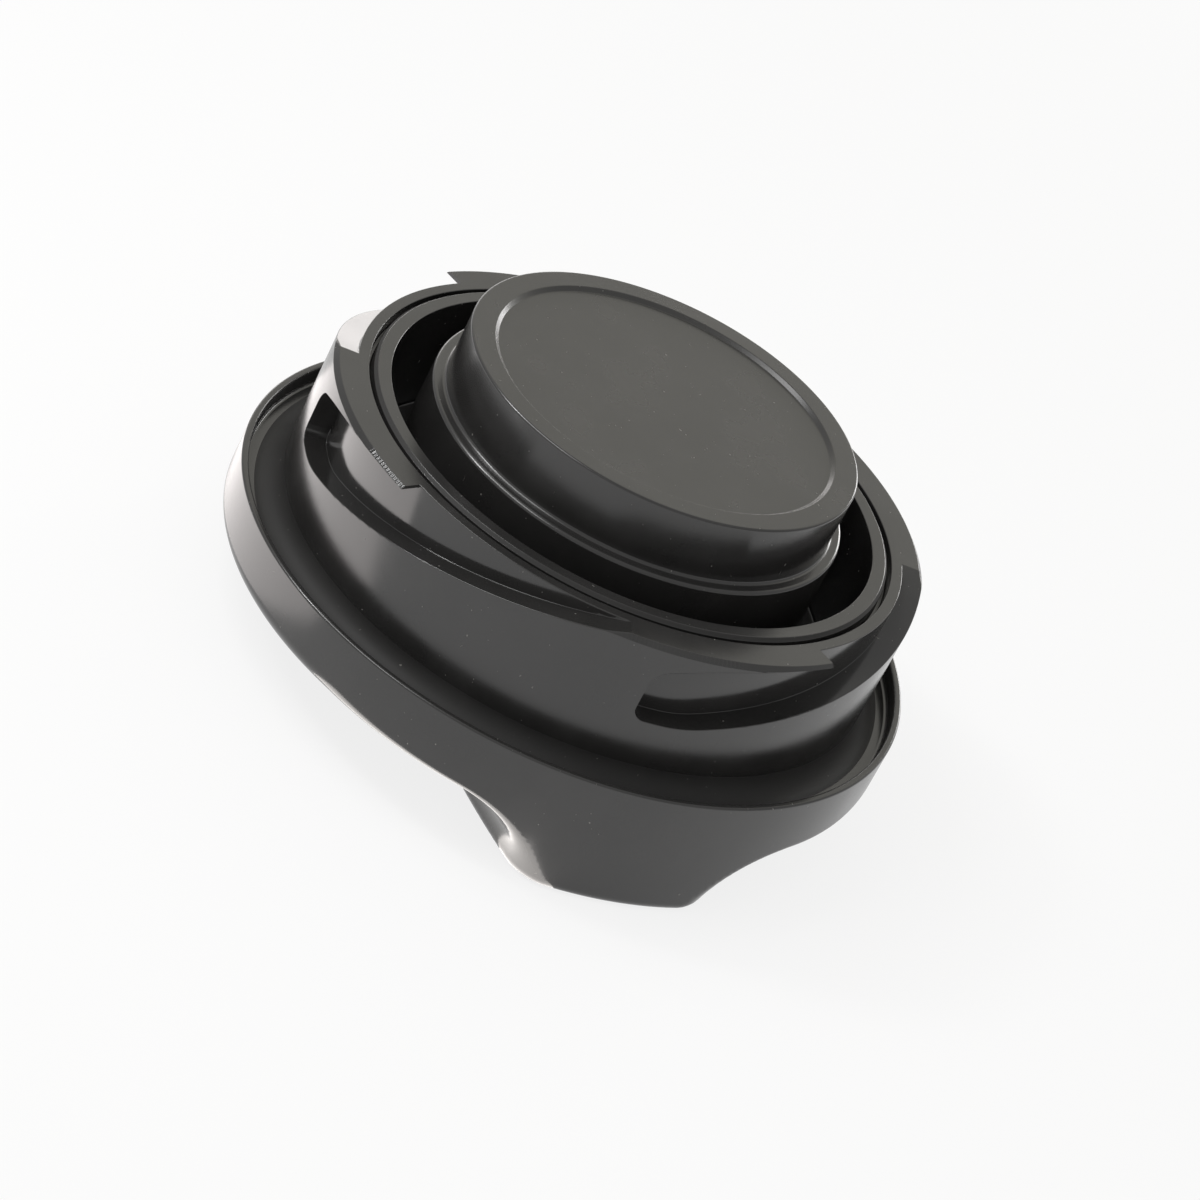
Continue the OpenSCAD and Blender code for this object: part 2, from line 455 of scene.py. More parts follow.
class CapShell:
    """Builds the cap's smooth surface from its sizes."""

    def __init__(self, sizes: CapSizes) -> None:
        """Keeps the sizes and works out the angular stations.

        Args:
            sizes: The cap's sizes.
        """
        self.s = sizes
        self.shell = Shell()
        starts = sizes.clock + np.arange(sizes.land_count) * sizes.pitch
        one = np.unique(np.concatenate([self.zone_angles(zone) for zone in Zone]))
        self.stations = (starts[:, None] + one[None, :-1]).ravel()

    @staticmethod
    def length(line: Array) -> Array:
        """Running length along polylines.

        Args:
            line: Points of shape (..., n, 2).

        Returns:
            The length at each point.
        """
        steps = np.linalg.norm(np.diff(line, axis=-2), axis=-1)
        return np.concatenate([np.zeros_like(steps[..., :1]), np.cumsum(steps, axis=-1)], axis=-1)

    @staticmethod
    def swept(theta: Array, line: Array) -> tuple[Array, Array]:
        """Carries a section round the axis: the point at angle t is (r cos t, r sin t, z), and the rows'
        direction is its derivative by the angle.

        Args:
            theta: Angles in radians, of shape (rows,).
            line: Sections of shape (rows, columns, 2) as radius and height.

        Returns:
            Points and the rows' directions.
        """
        r, z = line[..., 0], line[..., 1]
        dr, dz = np.gradient(r, theta, axis=0), np.gradient(z, theta, axis=0)
        c, s = np.cos(theta)[:, None], np.sin(theta)[:, None]
        points = np.stack([r * c, r * s, z], -1)
        along = np.stack([dr * c - r * s, dr * s + r * c, dz], -1)
        return points, along

    def lower_profile(self) -> Array:
        """Upper part of the flange wall, rim, channel and the round part of the skirt.

        Returns:
            The profile's points.
        """
        s = self.s
        line = Profile((s.flange_r, self.seam_z)).to(s.flange_r, s.rim_z - s.rim_edge_r, 2)
        line.arc((s.flange_r - s.rim_edge_r, s.rim_z - s.rim_edge_r), s.rim_edge_r, 0, 90, 5)
        inner = s.flange_r - s.rim_t
        line.arc((inner + s.rim_edge_r, s.rim_z - s.rim_edge_r), s.rim_edge_r, 90, 180, 5)
        line.to(inner, s.channel_z + s.rim_fillet_r)
        line.arc((inner - s.rim_fillet_r, s.channel_z + s.rim_fillet_r), s.rim_fillet_r, 0, -90, 4)
        k = s.skirt_fillet_r
        line.arc((s.skirt_r + k, s.channel_z + k), k, -90, -180, FILLET_STEPS)
        return line.to(s.skirt_r, self.wall_z, WALL_STEPS).array()

    @property
    def wall_z(self) -> float:
        """Height below which the skirt is round all the way."""
        return self.s.end_z - self.s.slot_drop - 1.0

    def upper_profile(self) -> Array:
        """Relief groove, sleeve, moat, ledge, plug and its face.

        Returns:
            The profile's points.
        """
        s = self.s
        e = s.edge_break
        sleeve_z = s.end_z + s.sleeve_rise
        line = Profile((s.bore_r + e, s.end_z)).arc((s.bore_r + e, s.end_z - e), e, 90, 180, 3)
        groove_z = s.end_z - s.relief_depth
        g = s.groove_corner_r
        line.to(s.bore_r, groove_z + g).arc((s.bore_r - g, groove_z + g), g, 0, -90, 3)
        line.arc((s.sleeve_r + g, groove_z + g), g, -90, -180, 3)
        k = s.sleeve_chamfer
        line.to(s.sleeve_r, sleeve_z - k - SLEEVE_BREAK_OUT)
        line.to(s.sleeve_r - BREAK_IN, sleeve_z - k + BREAK_IN)
        line.to(s.sleeve_r - k + BREAK_IN, sleeve_z - BREAK_IN)
        line.to(s.sleeve_r - k - SLEEVE_BREAK_OUT, sleeve_z)
        line.to(s.moat_out_r + e, sleeve_z).arc((s.moat_out_r + e, sleeve_z - e), e, 90, 180, 3)
        moat_z = s.end_z - s.moat_depth
        f = s.moat_corner_r
        line.to(s.moat_out_r, moat_z + f, 2).arc((s.moat_out_r - f, moat_z + f), f, 0, -90, 3)
        line.arc((s.moat_in_r + f, moat_z + f), f, -90, -180, 3)
        k = s.ledge_edge_r
        line.to(s.moat_in_r, s.ledge_z - k, 2).arc((s.moat_in_r - k, s.ledge_z - k), k, 0, 90, 7)
        k = s.plug_fillet_r
        line.arc((s.plug_r + k, s.ledge_z + k), k, -90, -180, 6)
        line.to(s.plug_r, s.plug_z - s.plug_edge, 2)
        line.arc((s.plug_r - s.plug_edge, s.plug_z - s.plug_edge), s.plug_edge, 0, 90, 5)
        rec = s.plug_r - s.face_rim_w
        line.to(rec + e, s.plug_z).to(rec - 0.02, s.plug_z - BREAK_OUT)
        low = s.plug_z - s.recess_depth
        line.to(rec - s.recess_slope + SLOPE_BREAK, low + SLOPE_BREAK)
        line.to(rec - s.recess_slope - BREAK_OUT, low)
        return line.to(0.0, low, 5).array()

    def outer_line(self) -> Array:
        """Outer wall of the skirt and its chamfer, up to the end face.

        Returns:
            Points of shape (n, 2), rising.
        """
        s = self.s
        zc = s.end_z - s.chamfer
        face_r = s.skirt_r - s.chamfer
        rows = [(s.skirt_r, self.wall_z), (s.skirt_r, zc - BREAK_OUT), (s.skirt_r - BREAK_IN, zc + BREAK_IN)]
        return np.array(rows + [(face_r + BREAK_IN, s.end_z - BREAK_IN), (face_r - BREAK_OUT, s.end_z)])

    def out(self, z: Array) -> Array:
        """Outside radius of the skirt by height, chamfer included.

        Args:
            z: Heights.

        Returns:
            The radii.
        """
        line = self.outer_line()
        return np.interp(z, line[:, 1], line[:, 0])

    def pocket_part(self, a: Array) -> Array:
        """Section of the slot under a land: edge, lower face, floor, land underside and its edge.

        Args:
            a: Angles from the closed end, in degrees.

        Returns:
            Points of shape (rows, 10, 2).
        """
        s = self.s
        e = np.full_like(a, s.edge_break)
        low, top = s.slot_low(a), s.land_low(a)
        rf = np.full_like(a, s.floor_r)
        bow = EDGE_BOW * e
        r = [self.out(low - e), self.out(low) - bow, self.out(low) - e, rf + e, rf]
        r += [rf, rf + e, self.out(top) - e, self.out(top + bow) - bow, self.out(top + e)]
        z = [low - e, low - bow, low, low, low + e, top - e, top, top, top + bow, top + e]
        return np.stack([np.stack(r, 1), np.stack(z, 1)], -1)

    def wall_part(self, a: Array, low: Array) -> Array:
        """Outer wall below the slot, with the level lines that the closed end's wall needs.

        Args:
            a: Angles from the closed end, in degrees.
            low: Height of the slot's lower face, or of the end face where there is no slot.

        Returns:
            Points of shape (rows, 15, 2), held below the slot's edge.
        """
        s = self.s
        closed_end = self.pocket_part(np.zeros(1))[0, :, 1]
        middle = np.linspace(closed_end[0], closed_end[-1], POCKET_POINTS)
        levels = np.r_[self.wall_z, middle, self.outer_line()[1:, 1]]
        edge = np.where(low >= s.end_z, s.end_z, low - np.minimum(s.edge_break, s.end_z - low))
        z = np.minimum(levels[None, :], edge[:, None])
        return np.stack([self.out(z), z], -1)

    def zone_angles(self, zone: Zone) -> Array:
        """Angles of the stations across one zone.

        Args:
            zone: Kind of stretch.

        Returns:
            Angles from the closed end, in degrees.
        """
        s = self.s
        corner = s.slot_corner_r / s.arc_mm
        if zone is Zone.POCKET:
            first = corner * (1 - np.cos(np.linspace(0, np.pi / 2, 7)))
            return np.r_[first, np.linspace(corner, s.land_arc, 34)[1:]].round(6)
        if zone is Zone.OPEN:
            return np.linspace(s.land_arc, s.ramp_end, 46).round(6)
        return np.linspace(s.ramp_end, s.pitch, 9).round(6)

    def skirt_top(self) -> None:
        """Adds the slotted top of the skirt with the walls at the closed ends and the land tips."""
        for k in range(self.s.land_count):
            base = self.s.clock + k * self.s.pitch
            self.pocket_zone(base)
            self.open_zone(base, Zone.OPEN)
            self.open_zone(base, Zone.FULL)
            self.end_walls(base)

    def patch(self, block: tuple[Array, Array], cols: slice, theta: Array, run: Array, slot: Look) -> None:
        """Adds some columns of a block of the skirt's top.

        Args:
            block: Points and normals of the whole block.
            cols: Columns to add.
            theta: Angles of the rows in degrees.
            run: Second surface coordinate of the whole block.
            slot: Material slot.
        """
        points, normals = block
        run = run[:, cols]
        uv = np.stack([np.broadcast_to(theta[:, None], run.shape), run], -1)
        self.shell.grid(points[:, cols], normals[:, cols], uv, slot)

    def rim_part(self, a: Array) -> Array:
        """End face from the slot floor's radius to the relief groove.

        Args:
            a: Angles from the closed end, in degrees.

        Returns:
            Points of shape (rows, 2, 2).
        """
        s = self.s
        r = np.array([s.floor_r - s.edge_break, s.bore_r + s.edge_break])
        return np.stack(np.broadcast_arrays(r[None, :], np.full((len(a), 1), s.end_z)), -1)

    def pocket_zone(self, base: float) -> None:
        """Adds one land with the closed part of its slot.

        Args:
            base: Angle of the closed end, in degrees.
        """
        a = self.zone_angles(Zone.POCKET)
        below = self.wall_part(a, self.s.slot_low(a))
        inside = self.pocket_part(a)
        over = self.outer_line()[1:, 1][None, :]
        z = np.maximum(over, inside[:, -1:, 1])
        above = np.stack([self.out(z), z], -1)
        floor_top = np.stack([np.full((len(a), 1), self.s.floor_r), np.full((len(a), 1), self.s.end_z)], -1)
        line = np.concatenate([below, inside, above, floor_top, self.rim_part(a)], 1)
        points, along = self.swept(np.radians(base + a), line)
        block = points, strip_normals(points, along)
        n, m = below.shape[1], below.shape[1] + inside.shape[1]
        self.patch(block, slice(0, n + 1), base + a, line[..., 1] + WALL_RUN, Look.TURNED)
        self.patch(block, slice(n, m), base + a, self.run_from(line, n, SLOT_RUN), Look.SLOT)
        run = self.run_from(line, -1, FACE_RUN)
        self.patch(block, slice(m - 1, m + 2), base + a, run, Look.TURNED)
        self.patch(block, slice(m + 1, m + 3), base + a, run, Look.CHAMFER)
        self.patch(block, slice(m + 2, None), base + a, run, Look.TURNED)

    def run_from(self, line: Array, column: int, start: float) -> Array:
        """Running length across sections, counted from one of their columns.

        Args:
            line: Sections of shape (rows, columns, 2).
            column: Column to count from.
            start: Value there.

        Returns:
            The length at each point.
        """
        run = self.length(line)
        return run - run[:, column, None] + start

    def open_zone(self, base: float, zone: Zone) -> None:
        """Adds one open ramp, or the full wall after it.

        Args:
            base: Angle of the closed end, in degrees.
            zone: Kind of stretch.
        """
        s = self.s
        a = self.zone_angles(zone)
        low = np.minimum(s.slot_low(a), s.end_z)
        low = np.where(a >= s.ramp_end - 1e-9, s.end_z, low)
        below = self.wall_part(a, low)
        e = np.minimum(s.edge_break, s.end_z - low)
        tip = s.end_z - s.land_tip_t - s.edge_break
        rf = np.full_like(a, s.floor_r)
        up = s.end_z - np.minimum(s.edge_break, s.end_z - low)
        edge_r = np.where(low >= s.end_z, self.out(low), self.out(low) - e)
        bow, start = EDGE_BOW * e, np.minimum(low + e, up)
        r = [self.out(low) - bow, edge_r, rf + e, rf, rf, rf, rf - bow]
        z = [low - bow, low, low, start, np.clip(tip, start, up), up, s.end_z - EDGE_BOW * (s.end_z - up)]
        inside = np.stack([np.stack(r, 1), np.stack(np.broadcast_arrays(*z), 1)], -1)
        line = np.concatenate([below, inside, self.rim_part(a)], 1)
        points, along = self.swept(np.radians(base + a), line)
        block = points, strip_normals(points, along)
        n, m = below.shape[1], below.shape[1] + inside.shape[1]
        run = line[..., 1] + WALL_RUN
        self.patch(block, slice(0, n - 2), base + a, run, Look.TURNED)
        self.patch(block, slice(n - 3, n - 1), base + a, run, Look.CHAMFER)
        self.patch(block, slice(n - 2, n + 1), base + a, run, Look.TURNED)
        if zone is Zone.OPEN:
            self.patch(block, slice(n, m - 1), base + a, self.run_from(line, n, SLOT_RUN), Look.SLOT)
            self.patch(block, slice(m - 2, None), base + a, self.run_from(line, -1, FACE_RUN), Look.TURNED)
        else:
            self.patch(block, slice(n, None), base + a, self.run_from(line, -1, FACE_RUN), Look.TURNED)

    def end_walls(self, base: float) -> None:
        """Adds the flat walls in planes through the axis at a closed end and a land tip.

        Args:
            base: Angle of the closed end, in degrees.
        """
        s = self.s
        inner = self.pocket_part(np.zeros(1))[0]
        z = np.linspace(inner[0, 1], inner[-1, 1], len(inner))
        self.radial_wall(base, np.stack([np.stack([self.out(z), z], -1), inner]), Look.SLOT)
        a = np.array([s.land_arc])
        pocket = self.pocket_part(a)[0, 5:]
        z = np.maximum(self.outer_line()[1:, 1], pocket[-1, 1])
        face = (s.floor_r - s.edge_break, s.end_z)
        land = np.concatenate([pocket, np.stack([self.out(z), z], -1), [(s.floor_r, s.end_z), face]])
        e = s.edge_break
        stem = np.tile([s.floor_r, s.end_z - e], (len(land), 1))
        stem[0] = pocket[0]
        stem[-2:] = (s.floor_r - EDGE_BOW * e, s.end_z - EDGE_BOW * e), face
        self.radial_wall(base + s.land_arc, np.stack([land, stem]), Look.TURNED)

    def radial_wall(self, angle: float, lines: Array, slot: Look) -> None:
        """Adds a flat wall between two polylines in a plane through the axis, facing larger angles.

        Args:
            angle: Angle of the wall, in degrees.
            lines: Two polylines of shape (2, n, 2) as radius and height.
            slot: Material slot.
        """
        t = np.radians(angle)
        r, z = lines[..., 0], lines[..., 1]
        points = np.stack([np.cos(t) * r, np.sin(t) * r, z], -1)
        normals = np.broadcast_to(np.array([-np.sin(t), np.cos(t), 0.0]), points.shape)
        self.shell.grid(points, normals, np.stack([r + END_RUN, z], -1), slot)

    def depth(self, r: Array, angle: Array, z: Array) -> Array:
        """How far a point lies outside the flange and grip; negative inside.

        The grip is the flange's cylinder less the two hollow scoops, and stands on z = 0. A scoop is the arc
        of scoop_r about a line that follows the bar's long side in plan, with the flat underside of the
        flange beyond it. Where two surfaces meet at an outer edge, the distances u and v past the start of
        the edge's rounding are joined as their hypotenuse. The radius of the flange's lower edge grows from
        lower_edge_r near the grip's ends to flange_edge_r away from them, and on the grip's end faces it
        grows with the square of the depth to grip_corner_r at the foot.

        Args:
            r: Radii.
            angle: Angles in radians.
            z: Heights.

        Returns:
            The depths, in millimetres.
        """
        s = self.s
        x, y = np.abs(r * np.cos(angle)), np.abs(r * np.sin(angle))
        reach = np.hypot(x, y + s.grip_side_r - s.grip_w / 2) - s.grip_side_r
        w, h = s.scoop_run - reach, z - (s.grip_h - s.scoop_r)
        hollow = np.where(w > 0, s.scoop_r - np.hypot(w, h), s.scoop_r - h)
        wall = r - s.flange_r
        low = 1.0 - np.clip(z / s.grip_h, 0.0, 1.0)
        away = np.clip((s.edge_fade_x - x) / s.edge_fade_w, 0.0, 1.0)
        round_r = s.lower_edge_r + (s.flange_edge_r - s.lower_edge_r) * away
        edge = round_r + (s.grip_corner_r - round_r) * low**2
        side = self.rounded(hollow, wall, edge)
        return self.rounded(side, -z, np.full_like(side, s.grip_edge_r))

    @staticmethod
    def rounded(first: Array, second: Array, radius: Array) -> Array:
        """Joins two depths with a rounded outer edge.

        Args:
            first: Depth under one surface.
            second: Depth under the other.
            radius: Radius of the edge.

        Returns:
            The depth under both.
        """
        u, v = np.maximum(first + radius, 0.0), np.maximum(second + radius, 0.0)
        return np.minimum(np.maximum(first, second), -radius) + np.hypot(u, v)

    def rays(self) -> Array:
        """Slopes of the rays, from the seam on the flange wall down to straight below the start.

        Returns:
            Angles below the horizontal, in radians.
        """
        s = self.s
        far = s.flange_r - RAY_START[0]
        seam = float(np.arctan2(RAY_START[1] - self.seam_z, far))
        foot = float(np.arctan2(RAY_START[1], far))
        wall = np.linspace(seam, foot + FOOT_MARGIN, 52)
        scoop = np.linspace(foot + FOOT_MARGIN, STEEP, 50)[1:]
        return np.r_[wall, scoop, np.linspace(STEEP, np.pi / 2, 5)[1:]]

    @property
    def seam_z(self) -> float:
        """Height of the seam on the flange wall."""
        return self.s.grip_h + self.s.flange_edge_r + 0.1

    def grip(self) -> None:
        """Adds flange wall, underside, scoops and the grip's flat face.

        In each half-plane through the axis, the surface is the point on each ray from RAY_START where the
        depth is zero, found by halving; its normal is the gradient of the depth.
        """
        theta = np.radians(self.stations)[:, None]
        slope = self.rays()[None, :]
        near, far = np.zeros((len(theta), slope.size)), np.full((len(theta), slope.size), RAY_REACH)
        for _ in range(RAY_HALVINGS):
            middle = (near + far) / 2
            r, z = RAY_START[0] + middle * np.cos(slope), RAY_START[1] - middle * np.sin(slope)
            inside = self.depth(r, theta + 0 * r, z) < 0
            near, far = np.where(inside, middle, near), np.where(inside, far, middle)
        r, z = RAY_START[0] + near * np.cos(slope), RAY_START[1] - near * np.sin(slope)
        r[:, 0], z[:, 0] = self.s.flange_r, self.seam_z
        angle = theta + 0 * r
        e = 1e-3
        dr = self.depth(r + e, angle, z) - self.depth(r - e, angle, z)
        da = (self.depth(r, angle + e / r, z) - self.depth(r, angle - e / r, z))
        dz = self.depth(r, angle, z + e) - self.depth(r, angle, z - e)
        c, s = np.cos(angle), np.sin(angle)
        points = np.stack([r * c, r * s, z], -1)
        normals = unit(np.stack([dr * c - da * s, dr * s + da * c, dz], -1))
        run = self.length(np.stack([r, z], -1)) + GRIP_RUN
        uv = np.stack(np.broadcast_arrays(self.stations[:, None], run), -1)
        steps = 4
        share = np.linspace(1.0, 0.0, steps)[None, :, None]
        cap = np.concatenate([points[:, -1:, :2] * share, np.zeros((len(theta), steps, 1))], -1)
        cap[:, 0] = points[:, -1]
        inward = uv[:, -1:] + (1.0 - share) * [0.0, RAY_START[0]]
        down = np.broadcast_to([0.0, 0.0, -1.0], cap.shape)
        self.shell.grid(points, normals, uv, Look.TURNED, closed=True)
        self.shell.grid(cap, down, inward, Look.TURNED, closed=True)

    def make(self, materials: Sequence[bpy.types.Material]) -> bpy.types.Object:
        """Builds the whole shell.

        Args:
            materials: Materials in the order of Look.

        Returns:
            The finished object.
        """
        s = self.s
        lower = self.lower_profile()
        end = len(lower) - 1
        wall, fillet = end - WALL_STEPS, end - WALL_STEPS - FILLET_STEPS
        inner = self.first_at(lower[:, 0], s.flange_r - s.rim_t)
        parts = [(0, inner, Look.TURNED), (inner, inner + 1, Look.FOOT), (inner + 1, fillet, Look.TURNED)]
        self.turn_split(lower, parts + [(fillet, wall, Look.FOOT), (wall, end, Look.TURNED)], 0.0)
        upper = self.upper_profile()
        flat = self.first_at(upper[:, 1], s.plug_z)
        slant = self.first_at(upper[:, 0], s.sleeve_r - BREAK_IN)
        parts = [(0, slant, Look.TURNED), (slant, slant + 1, Look.FOOT), (slant + 1, flat, Look.TURNED)]
        self.turn_split(upper, parts + [(flat, len(upper) - 1, Look.MILLED)], UPPER_RUN)
        self.skirt_top()
        self.grip()
        return self.shell.build("cap_shell", materials)

    @staticmethod
    def first_at(values: Array, value: float) -> int:
        """Number of the first of the values that equals the one given."""
        return int(np.nonzero(np.abs(values - value) < CLOSE)[0][0])

    def turn_split(self, line: Array, parts: Sequence[tuple[int, int, Look]], start: float) -> None:
        """Revolves a profile whose stretches take different finishes.

        Args:
            line: Points of shape (n, 2).
            parts: First point, last point and material slot of each stretch.
            start: Running length at the first point.
        """
        theta = np.radians(self.stations)
        points, along = self.swept(theta, np.broadcast_to(line, (len(theta), *line.shape)))
        normals = strip_normals(points, along)
        run = self.length(line) + start
        uv = np.stack(np.broadcast_arrays(self.stations[:, None], run[None, :]), -1)
        for low, high, slot in parts:
            cols = slice(low, high + 1)
            self.shell.grid(points[:, cols], normals[:, cols], uv[:, cols], slot, closed=True)


class Node:
    """An output socket that takes part in arithmetic, and the maker of any other node."""

    def __init__(self, tree: bpy.types.NodeTree, socket: Any) -> None:
        """Wraps a socket.

        Args:
            tree: Node tree that holds it.
            socket: Output socket, or a plain number.
        """
        self.tree = tree
        self.socket = socket

    def make(self, kind: str, settings: dict[str, Any] | None = None, **inputs: Any) -> "Node":
        """Makes a node of any type.

        Args:
            kind: Type name of the node.
            settings: Properties to set on it.
            inputs: Input values or sockets by name, with underscores for spaces.

        Returns:
            The node's first enabled output.
        """
        node = self.tree.nodes.new(kind)
        for key, value in (settings or {}).items():
            setattr(node, key, value)
        for key, value in inputs.items():
            name = key.replace("_", " ")
            index = int(key[1:]) if key[0] == "i" and key[1:].isdigit() else name
            target = node.inputs[index]
            if isinstance(value, Node):
                self.tree.links.new(value.socket, target)
            else:
                target.default_value = value
        outs = [o for o in node.outputs if o.enabled]
        return Node(self.tree, outs[0] if outs else None)

    def named(self, name: str) -> "Node":
        """Another output of the same node.

        Args:
            name: Name of the output.

        Returns:
            That output.
        """
        return Node(self.tree, self.socket.node.outputs[name])

    def math(self, operation: str, *others: Any) -> "Node":
        """Applies a Math node.

        Args:
            operation: Its operation.
            others: Further operands.

        Returns:
            The result.
        """
        inputs = {f"i{i + 1}": other for i, other in enumerate(others)}
        return self.make("ShaderNodeMath", {"operation": operation}, i0=self, **inputs)

    def __add__(self, other: Any) -> "Node":
        """Sum."""
        return self.math("ADD", other)

    def __radd__(self, other: Any) -> "Node":
        """Sum with a number in front."""
        return self.math("ADD", other)

    def __sub__(self, other: Any) -> "Node":
        """Difference."""
        return self.math("SUBTRACT", other)

    def __rsub__(self, other: Any) -> "Node":
        """Difference from a number."""
        return self.math("MULTIPLY", -1.0).math("ADD", other)

    def __mul__(self, other: Any) -> "Node":
        """Product."""
        return self.math("MULTIPLY", other)

    def __rmul__(self, other: Any) -> "Node":
        """Product with a number in front."""
        return self.math("MULTIPLY", other)

    def ramp(self, low: float, high: float, out_low: float = 0.0, out_high: float = 1.0) -> "Node":
        """Smooth step from one value to another.

        Args:
            low: Where it starts.
            high: Where it ends.
            out_low: Value below the start.
            out_high: Value above the end.

        Returns:
            The stepped value.
        """
        settings = {"interpolation_type": "SMOOTHSTEP"}
        return self.make("ShaderNodeMapRange", settings, i0=self, i1=low, i2=high, i3=out_low, i4=out_high)

    def noise(self, scale: float, detail: float, roughness: float = 0.5) -> "Node":
        """Noise over these coordinates.

        Args:
            scale: Its scale.
            detail: Number of finer layers.
            roughness: Weight of the finer layers.

        Returns:
            The noise value.
        """
        return self.make("ShaderNodeTexNoise", Vector=self, Scale=scale, Detail=detail, Roughness=roughness)

    def mix(self, first: "Node | tuple[float, ...]", second: "Node | tuple[float, ...]") -> "Node":
        """Mixes two colours by this value.

        Args:
            first: Colour at zero.
            second: Colour at one.

        Returns:
            The mixed colour.
        """
        tree = self.tree
        node = tree.nodes.new("ShaderNodeMix")
        node.data_type = "RGBA"
        tree.links.new(self.socket, node.inputs[0])
        for index, value in ((6, first), (7, second)):
            if isinstance(value, Node):
                tree.links.new(value.socket, node.inputs[index])
            else:
                node.inputs[index].default_value = (*value, 1.0)
        return Node(tree, node.outputs[2])


class Marks(Enum):
    """The kinds of machining marks."""

    LINES = "lines"
    BARS = "bars"
    SWEEPS = "sweeps"


@dataclass(frozen=True)
class Finish:
    """Numbers of one machined finish; its line pitch is in millimetres, and for bars in degrees."""

    name: str
    colour: tuple[float, float, float]
    roughness: float
    grain: float
    line_pitch: float
    line_depth: float
    marks: Marks = Marks.LINES
    index: float = 1.65


# Finishes in the order of Look
FINISHES = (
    Finish("anodised_turned", (0.028, 0.0272, 0.0265), 0.20, 0.06, 0.11, 0.04),
    Finish("anodised_slot", (0.026, 0.0252, 0.0245), 0.13, 0.02, 0.35, 0.02),
    Finish("anodised_milled", (0.028, 0.0272, 0.0255), 0.26, 0.06, 0.28, 0.06, Marks.SWEEPS),
    Finish("anodised_foot", (0.028, 0.0272, 0.0265), 0.6, 0.10, 0.16, 0.06, index=1.4),
    Finish("anodised_chamfer", (0.026, 0.0255, 0.025), 0.10, 0.03, 0.8, 0.5, Marks.BARS),
)
GRAIN_SCALE, CLOUD_SCALE, DUST_SCALE, LINT_SCALE, CHATTER_SCALE = 9000.0, 140.0, 2600.0, 900.0, 130.0
DUST_COLOUR = (0.30, 0.29, 0.27)
SHADE = 0.82
MILL_CENTRE = (0.002, 0.001, 0.0)

# Stretches of strong chatter bars on the chamfer, as middle and half width in degrees
CHATTER_ARCS = ((291.5, 6.5), (354.0, 13.0), (80.0, 10.0), (150.0, 7.0))


class FinishKit:
    """Makes the cap's anodised finishes."""

    @staticmethod
    def start(name: str) -> tuple[bpy.types.Material, Node, bpy.types.Node]:
        """Makes an empty material with one shader.

        Args:
            name: Its name.

        Returns:
            The material, a node maker and the shader.
        """
        material = bpy.data.materials.new(name)
        material.use_nodes = True
        tree = material.node_tree
        tree.nodes.clear()
        shader = tree.nodes.new("ShaderNodeBsdfPrincipled")
        output = tree.nodes.new("ShaderNodeOutputMaterial")
        tree.links.new(shader.outputs[0], output.inputs[0])
        return material, Node(tree, None), shader

    def anodised(self, finish: Finish) -> bpy.types.Material:
        """Makes a black anodised finish.

        Args:
            finish: Its numbers.

        Returns:
            The material.
        """
        material, maker, shader = self.start(finish.name)
        coords = maker.make("ShaderNodeTexCoord")
        place = coords.named("Object")
        split = maker.make("ShaderNodeSeparateXYZ", Vector=coords.named("UV"))
        angle, run = split.named("X"), split.named("Y")
        grain = place.noise(GRAIN_SCALE, 3.0, 0.7)
        cloud = place.noise(CLOUD_SCALE, 3.0, 0.55)
        specks = place.noise(DUST_SCALE, 1.0).ramp(0.74, 0.80) * place.noise(LINT_SCALE, 1.0).ramp(0.50, 0.62)
        height = self.marks(finish, angle, run, place) * finish.line_depth + grain * finish.grain
        base = cloud.ramp(0.35, 0.7).mix(tuple(c * SHADE for c in finish.colour), finish.colour)
        colour = (specks * 0.55).mix(base, DUST_COLOUR)
        rough = cloud.ramp(0.3, 0.75, finish.roughness - 0.025, finish.roughness + 0.03) + specks * 0.3
        bump = maker.make("ShaderNodeBump", Strength=0.5, Distance=0.0001, Height=height)
        tree = material.node_tree
        tree.links.new(colour.socket, shader.inputs["Base Color"])
        tree.links.new(rough.socket, shader.inputs["Roughness"])
        tree.links.new(bump.socket, shader.inputs["Normal"])
        shader.inputs["Metallic"].default_value = 0.0
        shader.inputs["IOR"].default_value = finish.index
        return material

    @staticmethod
    def marks(finish: Finish, angle: Node, run: Node, place: Node) -> Node:
        """Machining marks. Lines are fine turning lines: noise over the running length, almost even along the
        angle. Bars are a cutter's chatter: a sine of the angle, strong on CHATTER_ARCS. Sweeps are the circles
        of a face mill: noise over the distance from its centre.

        Args:
            finish: The finish that carries them.
            angle: Angle round the axis.
            run: Running length across the surface.
            place: Object coordinates.

        Returns:
            The height of the marks.
        """
        if finish.marks is Marks.LINES:
            across = run.make("ShaderNodeCombineXYZ", X=run * (1.0 / finish.line_pitch), Y=angle * 0.01)
            return across.noise(1.0, 2.0, 0.6)
        if finish.marks is Marks.SWEEPS:
            centre = place.make("ShaderNodeVectorMath", {"operation": "SUBTRACT"}, i0=place, i1=MILL_CENTRE)
            far = centre.make("ShaderNodeVectorMath", {"operation": "LENGTH"}, i0=centre)
            sweep = far.named("Value") * (1000.0 / finish.line_pitch)
            return sweep.make("ShaderNodeCombineXYZ", X=sweep, Y=angle * 0.02).noise(1.0, 3.0, 0.6)
        wave = (angle * (2 * np.pi / finish.line_pitch)).math("SINE")
        strong = place.noise(CHATTER_SCALE, 1.0).ramp(0.42, 0.60, 0.02, 0.12)
        for middle, half in CHATTER_ARCS:
            turned = ((angle - middle) * (np.pi / 180)).math("COSINE")
            strong = strong + turned.ramp(float(np.cos(np.radians(half))), float(np.cos(np.radians(half * 0.6))))
        return wave * strong


